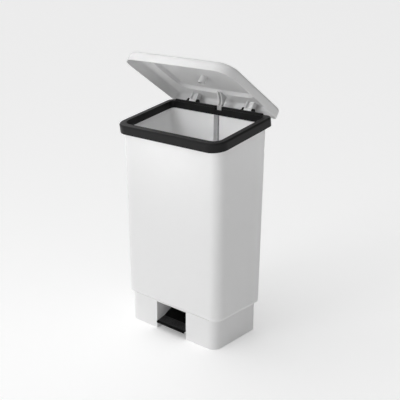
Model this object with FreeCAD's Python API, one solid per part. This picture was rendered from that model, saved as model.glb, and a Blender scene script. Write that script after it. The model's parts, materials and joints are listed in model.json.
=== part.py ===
import FreeCAD, Part
import math
import os
from FreeCAD import Vector

# A pedal bin standing on the floor: millimetres, +Z up, front towards -Y, origin on the floor
# under the middle of the plinth. The lid stands open and the pedal is pressed at rest.

# Plinth and tub
plinthHalf = 178.8
plinthFront = -98.6
plinthBack = 100.1
plinthHeight = 96.0
notchHalf = 61.5
notchDepth = 70.0
tubFloor = 96.3
tubHalfLow = 191.4
tubHalfHigh = 195.8
tubFrontLow = -104.6
tubFrontHigh = -110.1
tubBackLow = 110.3
tubBackHigh = 114.9
tubHigh = 620.0
tubCorner = 34.0
tubBackCorner = 18.0
tubFootRound = 11.0
wall = 2.6
loftTop = 720.0
flangeThick = 2.5
floorThick = 3.0
rodHole = 2.0
screwX = 150.0
screwRows = (-12.0, 82.0)
screwRadius = 2.3
screwHead = 4.5
screwSink = 1.8
bossWall = 3.2
plateThick = 3.0

# Rim, in its own sloping frame: v runs back along the slope, w stands off it
rimTilt = 9.3
rimOrigin = Vector(0, -125.3, 624.25)
rimHalf = 205.0
rimDepth = 262.3
rimHeight = 27.4
mouthHalf = 185.7
mouthFront = 21.4
mouthBack = 246.3
mouthFoot = 4.7
rimWall = 2.0

# Lid and its hinge, in the rim's frame when shut
lidHalf = 205.5
lidFront = -5.0
lidBack = 295.0
lidFoot = 27.9
lidHeight = 32.0
lidSkin = 2.5
lidRound = 14.0
lidCorner = 52.0
lidBackCorner = 18.0
panInset = 55.0
panRise = 11.0
panDraft = 9.0
bossRadius = 10.5
bossDrop = 23.0
lidOpen = 43.5
hingeV = 265.4
hingeW = 30.5
hingeX = 110.0
pinRadius = 3.0
runningGap = 0.05
earOffset = 18.0
earRadius = 6.5
lugOffset = 12.0
railRadius = 5.8
railV = 252.8
railEnd = 172.0
slotHalf = 12.5
slotX = 8.0

# Push rod, its head and the lid's arm
rodX = 2.0
rodY = 122.0
rodRadius = 2.5
crankY = 10.0
armX = 10.0
armOffset = 6.0
armHalf = 1.4
lidArmAngle = lidOpen / 2.0
headPin = 1.8
eyeRadius = 2.9
channelHalf = 11.0
channelBack = 129.0
housingHalf = 24.0

# Pedal lever
pivotY = 76.0
pivotZ = 62.0
axleRadius = 4.0
pedalHalf = 58.0
pedalFront = -104.5
treadDepth = 36.0
pedalSlope = 11.0
rampSlope = 26.0
leverHalf = 13.0


def outline(half, front, back, frontRadius, backRadius, z):
    """Closed wire of a rectangle with rounded corners, level at z."""
    def corner(cx, cy, radius, middle):
        reach = [middle - 45, middle, middle + 45]
        points = [Vector(cx + radius * math.cos(math.radians(a)),
                         cy + radius * math.sin(math.radians(a)), z) for a in reach]
        return Part.Arc(*points).toShape()
    arcs = [corner(half - backRadius, back - backRadius, backRadius, 45),
            corner(backRadius - half, back - backRadius, backRadius, 135),
            corner(frontRadius - half, front + frontRadius, frontRadius, 225),
            corner(half - frontRadius, front + frontRadius, frontRadius, 315)]
    edges = []
    for index, arc in enumerate(arcs):
        following = arcs[(index + 1) % 4]
        edges.append(arc)
        edges.append(Part.LineSegment(arc.Vertexes[-1].Point, following.Vertexes[0].Point).toShape())
    return Part.Wire(edges)


def prism(half, front, back, frontRadius, backRadius, low, high):
    wire = outline(half, front, back, frontRadius, backRadius, low)
    return Part.Face(wire).extrude(Vector(0, 0, high - low))


def box(x0, x1, y0, y1, z0, z1):
    return Part.makeBox(x1 - x0, y1 - y0, z1 - z0, Vector(x0, y0, z0))


def rodAlongX(radius, x0, x1, y, z):
    return Part.makeCylinder(radius, x1 - x0, Vector(x0, y, z), Vector(1, 0, 0))


def post(radius, x, y, z0, z1):
    return Part.makeCylinder(radius, z1 - z0, Vector(x, y, z0), Vector(0, 0, 1))


def slab(points, half, centre=0.0):
    """Profile in the YZ plane carried sideways to a plate of the given half width."""
    loop = [Vector(centre - half, y, z) for y, z in points]
    return Part.Face(Part.makePolygon(loop + [loop[0]])).extrude(Vector(2 * half, 0, 0))


def inRim(shape):
    """Carry a shape from the rim's sloping frame into the bin's frame."""
    moved = shape.copy()
    moved.rotate(Vector(0, 0, 0), Vector(1, 0, 0), rimTilt)
    moved.translate(rimOrigin)
    return moved


def rimPoint(v, w):
    tilt = math.radians(rimTilt)
    return Vector(0, rimOrigin.y + v * math.cos(tilt) - w * math.sin(tilt),
                  rimOrigin.z + v * math.sin(tilt) + w * math.cos(tilt))


hinge = rimPoint(hingeV, hingeW)
crankZ = crankY * math.tan(math.radians(lidArmAngle))
headZ = hinge.z + crankZ


def tubLoft(inset, low, high):
    """Tapered body between two heights, drawn in by inset."""
    def section(z):
        share = (z - plinthHeight) / (tubHigh - plinthHeight)
        half = tubHalfLow + share * (tubHalfHigh - tubHalfLow) - inset
        front = tubFrontLow + share * (tubFrontHigh - tubFrontLow) + inset
        back = tubBackLow + share * (tubBackHigh - tubBackLow) - inset
        return outline(half, front, back, tubCorner - inset, tubBackCorner - inset, z)
    return Part.makeLoft([section(low), section(high)], True, True)


def uprightBackEdges(shape):
    """The long vertical edges at the back of a shape."""
    return [edge for edge in shape.Edges if edge.BoundBox.ZLength > 90 and edge.BoundBox.YMin > 100]


def underRim(w):
    """Everything below the plane that lies w above the rim's foot."""
    return inRim(box(-400, 400, -400, 700, -900, w))


def bodyTub():
    outer = tubLoft(0, tubFloor, loftTop)
    lowEdges = [edge for edge in outer.Edges if edge.BoundBox.ZMax < tubFloor + 0.1]
    outer = outer.makeFillet(tubFootRound, lowEdges)
    channel = box(rodX - channelHalf - wall, rodX + channelHalf + wall, 90, channelBack + wall, tubFloor, loftTop)
    channel = channel.makeFillet(3.0, uprightBackEdges(channel))
    outer = outer.fuse(channel)
    outer = outer.common(underRim(mouthFoot - flangeThick + 0.1))
    edge = rimWall + 0.4
    flange = inRim(prism(rimHalf - edge, edge, rimDepth - edge, 41.0, 17.0, mouthFoot - flangeThick, mouthFoot))
    outer = outer.fuse(flange)
    inner = tubLoft(wall, tubFloor + floorThick, loftTop)
    innerLow = [edge for edge in inner.Edges if edge.BoundBox.ZMax < tubFloor + floorThick + 0.1]
    inner = inner.makeFillet(tubFootRound - 2.0, innerLow)
    way = box(rodX - channelHalf, rodX + channelHalf, 85, channelBack, tubFloor + floorThick, loftTop)
    inner = inner.fuse(way)
    tub = outer.cut(inner)
    return tub.cut(post(rodRadius + rodHole, rodX, rodY, tubFloor - 5, tubFloor + 10)).removeSplitter()


def screwPlaces():
    return [(x, y) for x in (-screwX, screwX) for y in screwRows]


def basePlinth():
    outer = prism(plinthHalf, plinthFront, plinthBack, 29.0, 8.0, 0, plinthHeight)
    housing = box(rodX - housingHalf, rodX + housingHalf, 80, channelBack + wall, 0, plinthHeight)
    outer = outer.fuse(housing.makeFillet(5.0, uprightBackEdges(housing)))
    inner = prism(plinthHalf - wall, plinthFront + wall, plinthBack - wall, 26.4, 5.4, -1, plinthHeight - 3)
    inner = inner.fuse(box(rodX - housingHalf + wall, rodX + housingHalf - wall, 70, channelBack,
                           -1, plinthHeight - 3))
    shell = outer.cut(inner)
    notchBack = plinthFront + notchDepth
    cheeks = box(-notchHalf - wall, notchHalf + wall, plinthFront, notchBack, 0, plinthHeight - 2)
    shell = shell.fuse(cheeks.common(outer))
    notch = box(-notchHalf, notchHalf, plinthFront - 5, notchBack + 1, -1, plinthHeight - 3)
    shell = shell.cut(notch)
    for x, y in screwPlaces():
        boss = post(screwRadius + bossWall, x, y, plateThick + 0.1, plinthHeight - 2)
        shell = shell.fuse(boss).cut(post(screwRadius, x, y, plateThick - 1, 20.0))
    hole = post(rodRadius + rodHole, rodX, rodY, plinthHeight - 10, plinthHeight + 5)
    return shell.cut(hole).removeSplitter()


def basePlate():
    plate = prism(plinthHalf - wall - 0.3, plinthFront + notchDepth + 1.5, plinthBack - wall - 0.3,
                  2.0, 5.0, 0, plateThick)
    for x, y in screwPlaces():
        plate = plate.cut(post(screwRadius + 0.1, x, y, -1, plateThick + 1))
        plate = plate.cut(post(screwHead + 0.2, x, y, -1, screwSink))
    return plate


def baseScrews():
    """Screws driven up through the plate into the plinth's bosses, heads sunk flush."""
    screws = []
    for x, y in screwPlaces():
        shank = post(screwRadius, x, y, screwSink - 0.2, 16.0)
        screws.append(post(screwHead, x, y, 0.1, screwSink).fuse(shank).removeSplitter())
    return Part.makeCompound(screws)


def hingeEar(x):
    """Ear on the rim that holds one end of a hinge pin, with a gusset along the rail."""
    ear = rodAlongX(earRadius, x - 3, x + 3, hingeV, hingeW)
    ear = ear.fuse(box(x - 3, x + 3, hingeV - earRadius, hingeV - 1, rimHeight - 6, hingeW))
    outward = 1 if x * (abs(x) - hingeX) > 0 else -1
    foot = Vector(x, hingeV - 2.2, rimHeight - 3.6)
    gusset = Part.makePolygon([foot, foot + Vector(outward * 14, 0, 0), foot + Vector(outward * 14, 0, 4.5),
                               foot + Vector(0, 0, hingeW - rimHeight + 8), foot])
    return ear.fuse(Part.Face(gusset).extrude(Vector(0, -3.4, 0)))


def rimFrame():
    outer = prism(rimHalf, 0, rimDepth, 44.0, 20.0, 0, rimHeight)
    topEdges = [edge for edge in outer.Edges if edge.BoundBox.ZMin > rimHeight - 0.1]
    outer = outer.makeFillet(5.0, topEdges)
    mouth = prism(mouthHalf, mouthFront, mouthBack, 26.0, 14.0, -1, rimHeight + 1)
    hollow = prism(rimHalf - rimWall, rimWall, rimDepth - rimWall, 42.0, 18.0, -1, rimHeight - rimWall)
    inside = prism(mouthHalf + rimWall, mouthFront - rimWall, mouthBack + rimWall, 28.0, 16.0,
                   -2, rimHeight + 1)
    rim = outer.cut(mouth).cut(hollow.cut(inside))
    rim = rim.cut(prism(mouthHalf + rimWall + 1, mouthFront - rimWall - 1, mouthBack + rimWall + 1,
                        29.0, 17.0, -1, mouthFoot))
    for side in (-1, 1):
        for offset in (-earOffset, earOffset):
            rim = rim.fuse(hingeEar(side * hingeX + offset))
        reach = earOffset - 3.0
        rim = rim.cut(box(side * hingeX - reach, side * hingeX + reach, railV + railRadius + 0.2,
                          rimDepth + 3, hingeW - earRadius - 1.5, rimHeight + 2))
        rim = rim.cut(rodAlongX(pinRadius, side * hingeX - 24, side * hingeX + 24, hingeV, hingeW))
    left = slotX - slotHalf
    right = slotX + slotHalf
    slot = box(left, right, mouthBack + rimWall + 0.5, rimDepth - 1, -1, rimHeight + 2)
    dip = box(left, right, mouthBack - 3, rimDepth - 2, rimHeight - 7, rimHeight + 2)
    rim = rim.cut(slot).cut(dip)
    return inRim(rim.removeSplitter())


def railCover(x0, x1):
    """Half-round hollow cover along the top of the rim's rear beam."""
    foot = rimHeight + 0.05
    shell = rodAlongX(railRadius, x0, x1, railV, foot)
    shell = shell.cut(rodAlongX(railRadius - 1.6, x0 - 1, x1 + 1, railV, foot))
    return inRim(shell.common(box(x0, x1, railV - 20, railV + 20, foot, foot + 20)))


def hingePin(side):
    pin = rodAlongX(pinRadius, side * hingeX - 23, side * hingeX + 23, hingeV, hingeW)
    return inRim(pin)


def lidHinge(side):
    """Two ribs, the web between them and the barrel that turns on the pin."""
    middle = side * hingeX
    ceiling = lidFoot + lidHeight - 1
    barrel = rodAlongX(6.0, middle - lugOffset - 1.5, middle + lugOffset + 1.5, hingeV, hingeW)
    web = box(middle - lugOffset, middle + lugOffset, hingeV + 2.5, hingeV + 6, hingeW, ceiling)
    made = barrel.fuse(web)
    for offset in (-lugOffset, lugOffset):
        x = middle + offset
        made = made.fuse(box(x - 1.5, x + 1.5, hingeV - 5, hingeV + 12, hingeW + 2, ceiling))
    return made


def lidArm(x):
    """Rib under the lid that ends in the slotted eye for the rod's head pin."""
    angle = math.radians(lidOpen - lidArmAngle - rimTilt)
    length = math.hypot(crankY, crankZ)
    eyeV = hingeV - length * math.cos(angle)
    eyeW = hingeW - length * math.sin(angle)
    rib = rodAlongX(5.0, x - armHalf, x + armHalf, eyeV, eyeW)
    rib = rib.fuse(box(x - armHalf, x + armHalf, eyeV - 5, eyeV + 5, eyeW, lidFoot + lidHeight - 1))
    ceiling = lidFoot + lidHeight - 1
    brace = slab([(eyeV - 4.9, lidFoot + 8), (eyeV - 34, ceiling), (eyeV, ceiling)], armHalf, x)
    rib = rib.fuse(brace)
    return rib.cut(rodAlongX(eyeRadius, x - 2, x + 2, eyeV, eyeW))


def openLid(shape):
    moved = inRim(shape)
    moved.rotate(hinge, Vector(1, 0, 0), -lidOpen)
    return moved


def panSolid(inset, low, high, round_):
    """Raised middle of the lid, drawn in by panDraft towards its top."""
    def section(extra, w):
        corner = 40.0 - inset / 2 - extra / 2
        edge = panInset + inset + extra
        return outline(lidHalf - edge, lidFront + edge, lidBack - edge, corner, corner, w)
    pan = Part.makeLoft([section(0, low), section(panDraft, high)], True, True)
    return pan.makeFillet(round_, [edge for edge in pan.Edges if edge.BoundBox.ZMin > high - 0.1])


def lidShell():
    top = lidFoot + lidHeight
    outer = prism(lidHalf, lidFront, lidBack, lidCorner, lidBackCorner, lidFoot, top)
    outer = outer.makeFillet(lidRound, [edge for edge in outer.Edges if edge.BoundBox.ZMin > top - 0.1])
    inner = prism(lidHalf - lidSkin, lidFront + lidSkin, lidBack - lidSkin, lidCorner - lidSkin,
                  lidBackCorner - lidSkin, lidFoot - 1, top - lidSkin)
    under = [edge for edge in inner.Edges if edge.BoundBox.ZMin > top - lidSkin - 0.1]
    inner = inner.makeFillet(lidRound - lidSkin, under)
    pan = panSolid(0, top - 5, top + panRise, 8.0)
    well = panSolid(lidSkin, top - 5, top + panRise - lidSkin, 6.5)
    lid = outer.fuse(pan).cut(inner).cut(well)
    middle = (lidFront + lidBack) / 2
    ceiling = top + panRise - lidSkin / 2
    boss = post(bossRadius, 0, middle, top + panRise - lidSkin - bossDrop, ceiling)
    lid = lid.fuse(boss.cut(post(bossRadius - 2.2, 0, middle, top - bossDrop, ceiling - lidSkin / 2)))
    for side in (-1, 1):
        lid = lid.fuse(lidHinge(side))
        lid = lid.cut(rodAlongX(pinRadius + runningGap, side * hingeX - 25, side * hingeX + 25,
                                hingeV, hingeW))
    for x in (armX - armOffset, armX + armOffset):
        lid = lid.fuse(lidArm(x))
    return openLid(lid.removeSplitter())


def lidBumper(side):
    foot = Part.makeCylinder(6.0, 3.0, Vector(side * 150, 60, lidFoot + lidHeight - lidSkin - 3.1))
    return openLid(foot)


def pushRod():
    return post(rodRadius, rodX, rodY, pivotZ + 6.0, headZ - 7.5)


def rodHead():
    """Cranked head on top of the rod: it carries the cross pin between the ribs of the lid's arm."""
    left = rodX - 3.8
    right = armX + armOffset - armHalf - 0.2
    upright = box(armX - armOffset + armHalf + 0.2, right, rodY - 2.9, rodY + 3.6, headZ - 16, headZ + 3)
    head = box(left, right, rodY - 2.9, rodY + 3.6, headZ - 16, headZ - 6.2).fuse(upright)
    head = head.cut(post(rodRadius, rodX, rodY, headZ - 20, headZ - 7.5))
    return head.cut(rodAlongX(headPin, armX - 12, armX + 12, rodY, headZ)).removeSplitter()


def rodHeadPin():
    reach = armOffset + armHalf + 2.0
    return rodAlongX(headPin, armX - reach, armX + reach, rodY, headZ)


def rodGuide(z):
    ring = box(rodX - channelHalf + 0.3, rodX + channelHalf - 0.3, rodY - 5, channelBack - 0.1, z, z + 14)
    return ring.cut(post(rodRadius + 0.08, rodX, rodY, z - 1, z + 15))


def rodFoot():
    block = box(rodX - 6, rodX + 6, rodY - 5, rodY + 5, pivotZ - 4, pivotZ + 22)
    block = block.cut(post(rodRadius, rodX, rodY, pivotZ + 6, pivotZ + 30))
    return block.cut(box(rodX - 3.2, rodX + 3.2, rodY - 8, rodY + 8, pivotZ - 6, pivotZ + 5.2))


def pedal():
    rise = treadDepth * math.tan(math.radians(pedalSlope))
    frontTop = 27.4
    breakY = pedalFront + treadDepth
    breakZ = frontTop + rise
    rampEnd = -26.0
    rampZ = breakZ + (rampEnd - breakY) * math.tan(math.radians(rampSlope))
    profile = [(pedalFront, frontTop - 6.5), (pedalFront, frontTop), (breakY, breakZ), (rampEnd, rampZ),
               (rampEnd, rampZ - 4.0), (breakY + 1, breakZ - 4.0), (pedalFront + 3.5, frontTop - 3.6),
               (pedalFront + 3.5, frontTop - 6.5)]
    return slab(profile, pedalHalf)


def leverArm():
    profile = [(-60.0, 28.0), (-24.0, 46.0), (10.0, 57.0), (pivotY, pivotZ + 5), (rodY - 10, pivotZ + 4),
               (rodY - 10, pivotZ - 4), (pivotY, pivotZ - 7), (10.0, 48.0), (-24.0, 37.0), (-60.0, 21.0)]
    lever = slab(profile, leverHalf, rodX)
    tongue = box(rodX - 2.8, rodX + 2.8, rodY - 14, rodY + 4, pivotZ - 4, pivotZ + 4)
    lever = lever.fuse(tongue).fuse(rodAlongX(10.0, rodX - leverHalf, rodX + leverHalf, pivotY, pivotZ))
    return lever.cut(rodAlongX(axleRadius + runningGap, rodX - 30, rodX + 30, pivotY, pivotZ))


def pedalAxle():
    return rodAlongX(axleRadius, rodX - 34, rodX + 34, pivotY, pivotZ)


def axleBracket(side):
    centre = rodX + side * 24.0
    cheek = box(centre - 4, centre + 4, pivotY - 14, pivotY + 14, 3.1, pivotZ)
    cheek = cheek.fuse(rodAlongX(10.0, centre - 4, centre + 4, pivotY, pivotZ))
    inside = centre - side * 4
    outside = centre + side * 14
    cheek = cheek.fuse(box(min(inside, outside), max(inside, outside), pivotY - 14, pivotY + 14, 3.1, 7.0))
    return cheek.cut(rodAlongX(axleRadius, centre - 8, centre + 8, pivotY, pivotZ))


def axleClip(side):
    centre = rodX + side * 31.5
    ring = rodAlongX(7.5, centre - 1, centre + 1, pivotY, pivotZ)
    return ring.cut(rodAlongX(axleRadius, centre - 2, centre + 2, pivotY, pivotZ))


os.makedirs("parts", exist_ok=True)
parts = {
    "body_tub": bodyTub(),
    "base_plinth": basePlinth(),
    "base_plate": basePlate(),
    "base_screws": baseScrews(),
    "rim_frame": rimFrame(),
    "rail_cover_left": railCover(-railEnd, slotX - slotHalf - 0.5),
    "rail_cover_right": railCover(slotX + slotHalf + 0.5, railEnd),
    "hinge_pin_left": hingePin(-1),
    "hinge_pin_right": hingePin(1),
    "lid_shell": lidShell(),
    "lid_bumper_left": lidBumper(-1),
    "lid_bumper_right": lidBumper(1),
    "push_rod": pushRod(),
    "rod_head": rodHead(),
    "rod_head_pin": rodHeadPin(),
    "rod_guide_upper": rodGuide(560.0),
    "rod_guide_lower": rodGuide(180.0),
    "rod_foot": rodFoot(),
    "pedal": pedal(),
    "lever_arm": leverArm(),
    "pedal_axle": pedalAxle(),
    "axle_bracket_left": axleBracket(-1),
    "axle_bracket_right": axleBracket(1),
    "axle_clip_left": axleClip(-1),
    "axle_clip_right": axleClip(1),
}
for name, shape in parts.items():
    shape.exportStep("parts/" + name + ".step")
    print(name, len(shape.Solids), round(shape.Volume / 1000.0, 1), shape.isValid())
print("hinge", round(hinge.y, 3), round(hinge.z, 3), "rod top", round(headZ, 3))
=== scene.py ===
import bmesh
import bpy
import json
import math
from mathutils import Matrix, Vector


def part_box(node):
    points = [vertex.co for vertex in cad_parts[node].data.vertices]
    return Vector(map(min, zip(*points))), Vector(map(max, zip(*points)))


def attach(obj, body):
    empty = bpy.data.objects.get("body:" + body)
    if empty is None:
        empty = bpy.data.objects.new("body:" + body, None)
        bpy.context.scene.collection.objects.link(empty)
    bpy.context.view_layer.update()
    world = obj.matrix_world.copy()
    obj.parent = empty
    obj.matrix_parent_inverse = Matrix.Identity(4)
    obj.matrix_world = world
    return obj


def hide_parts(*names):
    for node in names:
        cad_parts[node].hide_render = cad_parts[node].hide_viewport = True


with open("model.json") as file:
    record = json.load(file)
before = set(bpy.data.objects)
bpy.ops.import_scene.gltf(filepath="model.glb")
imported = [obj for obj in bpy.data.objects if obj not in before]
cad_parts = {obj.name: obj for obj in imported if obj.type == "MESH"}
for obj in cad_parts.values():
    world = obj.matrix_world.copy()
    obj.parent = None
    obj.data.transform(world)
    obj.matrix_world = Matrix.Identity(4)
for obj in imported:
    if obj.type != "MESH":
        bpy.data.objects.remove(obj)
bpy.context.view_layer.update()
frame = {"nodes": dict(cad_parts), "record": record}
nodes = frame["nodes"]
print("frame loaded:", len(nodes), "nodes")

# camera: degrees, metres, millimetres of lens
shot = {
    "azimuth": 40.63,
    "elevation": 18.26,
    "roll": 0.25,
    "distance": 2.41634,
    "target": (0.01886, 0.01618, 0.42069),
    "lens": 70.37,
}

# studio: a big soft sky, bright from the front left and above, with a low key light
# from the front and a narrow weak one into the mouth of the bin
studio = {
    "towards": (-0.42, -0.25, 0.87),
    "dim": 0.02,
    "bright": 1.17,
    "from": 0.0,
    "floor": 30.0,
    "floorGlow": 0.18,
    "floorTone": (0.95, 0.95, 0.95, 1.0),
    "floorRough": 0.9,
    "key": {
        "place": (-0.7, -3.2, 1.4),
        "aim": (0.0, 0.0, 0.4),
        "size": 1.2,
        "spread": 180.0,
        "power": 20.0,
    },
    "mouth": {
        "place": (-0.6, -1.5, 1.45),
        "aim": (0.03, 0.10, 0.64),
        "size": 0.3,
        "spread": 14.0,
        "power": 0.09,
    },
}

# the same for every finish of one kind
glossSwing = 0.06
grainDepth = 0.0006
drawnDepth = 0.0003
drawnStretch = (1.0, 1.0, 0.04)
sharpFrom = 40.0

# finishes: base and shade are the two tones, grain and clouds are scales, depth is in metres
whitePlastic = {
    "base": (0.90, 0.90, 0.90),
    "shade": (0.88, 0.88, 0.88),
    "rough": 0.42,
    "grain": 900.0,
    "bump": 0.05,
    "clouds": 7.0,
    "through": 0.7,
    "depth": 0.008,
}
# painted shade: the lid is a darker copy of the white plastic, toned down for the light it gets
lidShadedPlastic = dict(whitePlastic, base=(0.77, 0.77, 0.77), shade=(0.74, 0.74, 0.74), through=0.15)
blackPlastic = {
    "base": (0.009, 0.009, 0.0093),
    "shade": (0.013, 0.013, 0.0134),
    "rough": 0.30,
    "grain": 1100.0,
    "bump": 0.10,
    "clouds": 12.0,
    "specular": 0.16,
    "through": 0.0,
    "depth": 0.001,
}
# painted light and shade on the pedal: a lighter copy of the black plastic for the upward tread
# faces, a darker copy for the ramp, lip and edges
treadLitPlastic = dict(blackPlastic, base=(0.020, 0.020, 0.021), shade=(0.028, 0.028, 0.029),
                    specular=0.30)
rampShadedPlastic = dict(blackPlastic, base=(0.0025, 0.0025, 0.0026), shade=(0.0035, 0.0035, 0.0036),
                   specular=0.05)
greyPlastic = dict(whitePlastic, base=(0.55, 0.55, 0.55), shade=(0.50, 0.50, 0.50))
rubberSkin = dict(whitePlastic, base=(0.60, 0.60, 0.59), shade=(0.54, 0.54, 0.53), rough=0.62,
                  bump=0.12)
# steel: base and shade are painted light and dark streaks along the rod, standing for its
# reflections
steel = {
    "base": (0.52, 0.52, 0.53),
    "shade": (0.34, 0.34, 0.35),
    "rough": 0.16,
    "drawn": 260.0,
    "bump": 0.04,
}


def newMaterial(name):
    material = bpy.data.materials.new(name)
    material.use_nodes = True
    tree = material.node_tree
    return material, tree, tree.nodes["Principled BSDF"]


def mouldedPlastic(name, look):
    # fine spark-eroded grain in the bump, slow clouds in colour and gloss
    material, tree, shader = newMaterial(name)
    place = tree.nodes.new("ShaderNodeTexCoord")
    clouds = tree.nodes.new("ShaderNodeTexNoise")
    clouds.inputs["Scale"].default_value = look["clouds"]
    clouds.inputs["Detail"].default_value = 4.0
    tree.links.new(place.outputs["Object"], clouds.inputs["Vector"])
    tint = tree.nodes.new("ShaderNodeMix")
    tint.data_type = "RGBA"
    tint.inputs["A"].default_value = (*look["base"], 1.0)
    tint.inputs["B"].default_value = (*look["shade"], 1.0)
    tree.links.new(clouds.outputs["Fac"], tint.inputs["Factor"])
    tree.links.new(tint.outputs["Result"], shader.inputs["Base Color"])
    gloss = tree.nodes.new("ShaderNodeMapRange")
    gloss.inputs["To Min"].default_value = look["rough"] - glossSwing
    gloss.inputs["To Max"].default_value = look["rough"] + glossSwing
    tree.links.new(clouds.outputs["Fac"], gloss.inputs["Value"])
    tree.links.new(gloss.outputs["Result"], shader.inputs["Roughness"])
    grain = tree.nodes.new("ShaderNodeTexNoise")
    grain.inputs["Scale"].default_value = look["grain"]
    grain.inputs["Detail"].default_value = 2.0
    tree.links.new(place.outputs["Object"], grain.inputs["Vector"])
    relief = tree.nodes.new("ShaderNodeBump")
    relief.inputs["Strength"].default_value = look["bump"]
    relief.inputs["Distance"].default_value = grainDepth
    tree.links.new(grain.outputs["Fac"], relief.inputs["Height"])
    tree.links.new(relief.outputs["Normal"], shader.inputs["Normal"])
    shader.inputs["Specular IOR Level"].default_value = look.get("specular", 0.45)
    shader.inputs["Subsurface Weight"].default_value = look["through"]
    shader.inputs["Subsurface Radius"].default_value = (1.0, 1.0, 1.0)
    shader.inputs["Subsurface Scale"].default_value = look["depth"]
    return material


def drawnSteel(name, look):
    # fine lines along the rod or pin: drawing marks in the bump, and painted light and dark streaks
    # in the colour that stand for the rod's reflections
    material, tree, shader = newMaterial(name)
    place = tree.nodes.new("ShaderNodeTexCoord")
    stretch = tree.nodes.new("ShaderNodeMapping")
    stretch.inputs["Scale"].default_value = drawnStretch
    tree.links.new(place.outputs["Object"], stretch.inputs["Vector"])
    lines = tree.nodes.new("ShaderNodeTexNoise")
    lines.inputs["Scale"].default_value = look["drawn"]
    lines.inputs["Detail"].default_value = 3.0
    tree.links.new(stretch.outputs["Vector"], lines.inputs["Vector"])
    tint = tree.nodes.new("ShaderNodeMix")
    tint.data_type = "RGBA"
    tint.inputs["A"].default_value = (*look["base"], 1.0)
    tint.inputs["B"].default_value = (*look["shade"], 1.0)
    tree.links.new(lines.outputs["Fac"], tint.inputs["Factor"])
    tree.links.new(tint.outputs["Result"], shader.inputs["Base Color"])
    relief = tree.nodes.new("ShaderNodeBump")
    relief.inputs["Strength"].default_value = look["bump"]
    relief.inputs["Distance"].default_value = drawnDepth
    tree.links.new(lines.outputs["Fac"], relief.inputs["Height"])
    tree.links.new(relief.outputs["Normal"], shader.inputs["Normal"])
    shader.inputs["Metallic"].default_value = 1.0
    shader.inputs["Roughness"].default_value = look["rough"]
    return material


finishes = {
    "white_plastic": mouldedPlastic("whitePolypropylene", whitePlastic),
    "black_plastic": mouldedPlastic("blackPolypropylene", blackPlastic),
    "grey_plastic": mouldedPlastic("greyAcetal", greyPlastic),
    "rubber": mouldedPlastic("softRubber", rubberSkin),
    "steel": drawnSteel("drawnSteel", steel),
}
# the pedal's painted light copy and painted shade copy
treadLitFinish = mouldedPlastic("treadPaintedLightPolypropylene", treadLitPlastic)
rampShadedFinish = mouldedPlastic("rampPaintedShadePolypropylene", rampShadedPlastic)
# the lid's darker copy of the white plastic: painted shade
lidShadedFinish = mouldedPlastic("lidPaintedShadePolypropylene", lidShadedPlastic)
for part in frame["record"]["subparts"]:
    for skin in nodes[part["node"]].material_slots:
        skin.material = lidShadedFinish if part["node"] == "lid_shell" else finishes[part["material_slot"]]
print("materials on the carried nodes")


def pieceFrom(mesh, name, body, finish, replaced=()):
    # one finished piece: smooth shading, its material, its body
    bmesh.ops.recalc_face_normals(mesh, faces=mesh.faces)
    data = bpy.data.meshes.new(name)
    mesh.to_mesh(data)
    mesh.free()
    piece = bpy.data.objects.new(name, data)
    bpy.context.collection.objects.link(piece)
    data.materials.append(finishes[finish])
    data.shade_smooth()
    data.set_sharp_from_angle(angle=math.radians(sharpFrom))
    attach(piece, body)
    if replaced:
        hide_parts(*replaced)
    return piece


def block(mesh, low, high):
    # a cube stretched between two corners, given back as its new vertices
    size = Vector(high) - Vector(low)
    middle = (Vector(high) + Vector(low)) / 2
    made = bmesh.ops.create_cube(mesh, size=1.0)
    bmesh.ops.scale(mesh, verts=made["verts"], vec=size)
    bmesh.ops.translate(mesh, verts=made["verts"], vec=middle)
    return made["verts"]


def soften(mesh, verts, width, segments=2):
    edges = {edge for vert in verts for edge in vert.link_edges}
    bmesh.ops.bevel(mesh, geom=list(edges), offset=width, segments=segments, profile=0.5,
                    affect="EDGES", material=-1)


# the pedal: tread with ribs, smooth ramp behind it, lip in front with painted shade; metres and
# degrees
pedalLook = {
    "tread": 0.036,
    "treadTilt": 11.0,
    "ribs": 7,
    "ribHigh": 0.0007,
    "ribWide": 0.0016,
    "ribInset": 0.006,
    "ribSunk": 0.001,
    "ribRound": 0.0004,
    "edge": 0.0009,
    "corner": 30.0,
    "lip": 0.0045,
    "front": 0.0065,
    "facesUp": 0.7,
}


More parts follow.
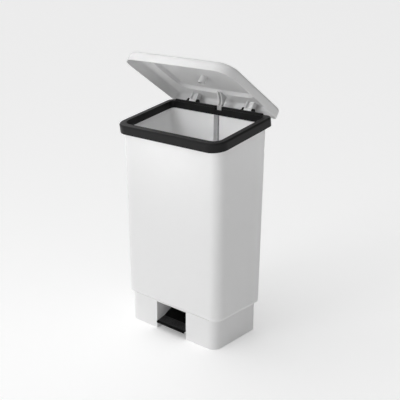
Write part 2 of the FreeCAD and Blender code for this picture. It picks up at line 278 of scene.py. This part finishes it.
def pedalPiece(look):
    low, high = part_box("pedal")
    mesh = bmesh.new()
    mesh.from_mesh(nodes["pedal"].data)
    bmesh.ops.remove_doubles(mesh, verts=mesh.verts, dist=0.00002)
    bmesh.ops.dissolve_limit(mesh, angle_limit=math.radians(2), verts=mesh.verts, edges=mesh.edges)
    bmesh.ops.bisect_plane(mesh, geom=mesh.verts[:] + mesh.edges[:] + mesh.faces[:], dist=0.00001,
                           plane_co=(0.0, low.y + look["lip"], 0.0), plane_no=(0.0, 1.0, 0.0))
    rims = [edge for edge in mesh.edges if edge.calc_face_angle(0) > math.radians(look["corner"])]
    bmesh.ops.bevel(mesh, geom=rims, offset=look["edge"], segments=3, profile=0.5,
                    affect="EDGES", material=-1)
    tilt = math.radians(look["treadTilt"])
    step = (look["tread"] - look["lip"]) / (look["ribs"] + 1)
    top = low.z + look["front"]
    for index in range(1, look["ribs"] + 1):
        run = look["lip"] + index * step
        y = low.y + run
        z = top + run * math.tan(tilt)
        verts = block(mesh, (low.x + look["ribInset"], y - look["ribWide"] / 2, z - look["ribSunk"]),
                      (high.x - look["ribInset"], y + look["ribWide"] / 2, z + look["ribHigh"]))
        soften(mesh, verts, look["ribRound"])
    bmesh.ops.recalc_face_normals(mesh, faces=mesh.faces)
    for face in mesh.faces:
        run = face.calc_center_median().y - low.y
        upward = face.normal.z > look["facesUp"]
        # painted light: the upward tread faces get a lighter copy of the black plastic; painted
        # shade: the ramp, the lip and the edges get a darker copy
        face.material_index = 1 if upward and look["lip"] < run < look["tread"] else 0
    piece = pieceFrom(mesh, "pedalPlate", "lever", "black_plastic", ("pedal",))
    # slot 0 holds the painted shade copy, slot 1 the painted light copy
    piece.data.materials[0] = rampShadedFinish
    piece.data.materials.append(treadLitFinish)


pedalPiece(pedalLook)
print("pedal made")

# four screws under the bottom plate: heads sunk flush, metres
screwLook = {
    "places": [(x, y) for x in (-0.150, 0.150) for y in (-0.012, 0.082)],
    "head": 0.0045,
    "shank": 0.0023,
    "sunk": 0.0017,
    "edge": 0.0003,
    "armLong": 0.0029,
    "armHalf": 0.0005,
    "armDeep": 0.0009,
    "pitch": 0.0016,
    "thread": 0.0004,
    "around": 32,
}


def screwProfile(look, tip):
    # radius and height from the head's face up the threaded shank
    points = [(0.0, 0.0), (look["head"] - look["edge"], 0.0), (look["head"], look["edge"]),
              (look["head"], look["sunk"]), (look["shank"], look["sunk"])]
    height = look["sunk"] + look["pitch"]
    while height < tip - look["pitch"]:
        points.append((look["shank"], height - look["pitch"] / 4))
        points.append((look["shank"] - look["thread"], height))
        points.append((look["shank"], height + look["pitch"] / 4))
        height += look["pitch"]
    return points + [(look["shank"] - look["thread"], tip), (0.0, tip)]


def screwPieces(look):
    low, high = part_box("base_screws")
    mesh = bmesh.new()
    profile = screwProfile(look, high.z - low.z)
    verts = [mesh.verts.new((radius, 0.0, height)) for radius, height in profile]
    line = [mesh.edges.new(pair) for pair in zip(verts, verts[1:])]
    bmesh.ops.spin(mesh, geom=verts + line, cent=(0.0, 0.0, 0.0), axis=(0.0, 0.0, 1.0),
                   dvec=(0.0, 0.0, 0.0), angle=math.tau, steps=look["around"], use_merge=True,
                   use_duplicate=False)
    bmesh.ops.remove_doubles(mesh, verts=mesh.verts, dist=0.000001)
    # the crossed recess in the head's face
    for axis in (Vector((1.0, 0.0, 0.0)), Vector((0.0, 1.0, 0.0))):
        for reach in (-look["armLong"], -look["armHalf"], look["armHalf"], look["armLong"]):
            faces = [one for one in mesh.faces if one.calc_center_median().z < look["edge"] / 2]
            around = {edge for one in faces for edge in one.edges}
            around |= {vert for one in faces for vert in one.verts}
            bmesh.ops.bisect_plane(mesh, geom=faces + list(around), dist=0.000001,
                                   plane_co=axis * reach, plane_no=axis)
    cross = []
    for one in mesh.faces:
        middle = one.calc_center_median()
        near, far = sorted((abs(middle.x), abs(middle.y)))
        if middle.z < look["edge"] / 4 and near < look["armHalf"] and far < look["armLong"]:
            cross.append(one)
    sunk = bmesh.ops.extrude_face_region(mesh, geom=cross)
    deep = [part for part in sunk["geom"] if isinstance(part, bmesh.types.BMVert)]
    bmesh.ops.translate(mesh, verts=deep, vec=(0.0, 0.0, look["armDeep"]))
    bmesh.ops.recalc_face_normals(mesh, faces=mesh.faces)
    first = mesh.verts[:] + mesh.edges[:] + mesh.faces[:]
    for x, y in look["places"][1:]:
        copy = bmesh.ops.duplicate(mesh, geom=first)
        moved = [part for part in copy["geom"] if isinstance(part, bmesh.types.BMVert)]
        bmesh.ops.translate(mesh, verts=moved, vec=(x, y, low.z))
    x, y = look["places"][0]
    bmesh.ops.translate(mesh, verts=[part for part in first if isinstance(part, bmesh.types.BMVert)],
                        vec=(x, y, low.z))
    pieceFrom(mesh, "baseScrews", "bin_body", "steel", ("base_screws",))


screwPieces(screwLook)
print("screws made")

# stage, lights and camera
floorMesh = bmesh.new()
bmesh.ops.create_grid(floorMesh, x_segments=2, y_segments=2, size=studio["floor"])
floorData = bpy.data.meshes.new("floor")
floorMesh.to_mesh(floorData)
floorMesh.free()
floor = bpy.data.objects.new("floor", floorData)
bpy.context.collection.objects.link(floor)
floorSkin, floorTree, floorShader = newMaterial("paleFloor")
floorShader.inputs["Base Color"].default_value = studio["floorTone"]
floorShader.inputs["Roughness"].default_value = studio["floorRough"]
floorShader.inputs["Emission Color"].default_value = (1.0, 1.0, 1.0, 1.0)
floorShader.inputs["Emission Strength"].default_value = studio["floorGlow"]
floorData.materials.append(floorSkin)

bpy.context.scene.view_settings.view_transform = "Standard"
world = bpy.data.worlds.new("studio")
bpy.context.scene.world = world
world.use_nodes = True
tree = world.node_tree
sky = tree.nodes["Background"]
sky.inputs["Color"].default_value = (1.0, 1.0, 1.0, 1.0)
direction = tree.nodes.new("ShaderNodeTexCoord")
facing = tree.nodes.new("ShaderNodeVectorMath")
facing.operation = "DOT_PRODUCT"
facing.inputs[1].default_value = Vector(studio["towards"]).normalized()
tree.links.new(direction.outputs["Generated"], facing.inputs[0])
level = tree.nodes.new("ShaderNodeMapRange")
level.inputs["From Min"].default_value = studio["from"]
level.inputs["From Max"].default_value = 1.0
level.inputs["To Min"].default_value = studio["dim"]
level.inputs["To Max"].default_value = studio["bright"]
tree.links.new(facing.outputs["Value"], level.inputs["Value"])
tree.links.new(level.outputs["Result"], sky.inputs["Strength"])


def softLight(name, look):
    lamp = bpy.data.lights.new(name, "AREA")
    lamp.shape = "SQUARE"
    lamp.size = look["size"]
    lamp.spread = math.radians(look["spread"])
    lamp.energy = look["power"]
    light = bpy.data.objects.new(name, lamp)
    bpy.context.collection.objects.link(light)
    light.location = look["place"]
    aim = Vector(look["aim"]) - Vector(look["place"])
    light.rotation_euler = aim.to_track_quat("-Z", "Y").to_euler()


softLight("key", studio["key"])
softLight("mouth", studio["mouth"])

azimuth = math.radians(shot["azimuth"])
elevation = math.radians(shot["elevation"])
roll = math.radians(shot["roll"])
back = Vector((math.sin(azimuth) * math.cos(elevation), -math.cos(azimuth) * math.cos(elevation),
               math.sin(elevation)))
side = Vector((math.cos(azimuth), math.sin(azimuth), 0.0))
rise = back.cross(side)
right = side * math.cos(roll) + rise * math.sin(roll)
up = rise * math.cos(roll) - side * math.sin(roll)
lens = bpy.data.cameras.new("camera")
lens.lens = shot["lens"]
lens.sensor_width = 36.0
camera = bpy.data.objects.new("camera", lens)
bpy.context.collection.objects.link(camera)
camera.matrix_world = Matrix.Translation(Vector(shot["target"]) + back * shot["distance"]) @ Matrix(
    (right, up, back)).transposed().to_4x4()
bpy.context.scene.camera = camera
print("stage, lights and camera set")
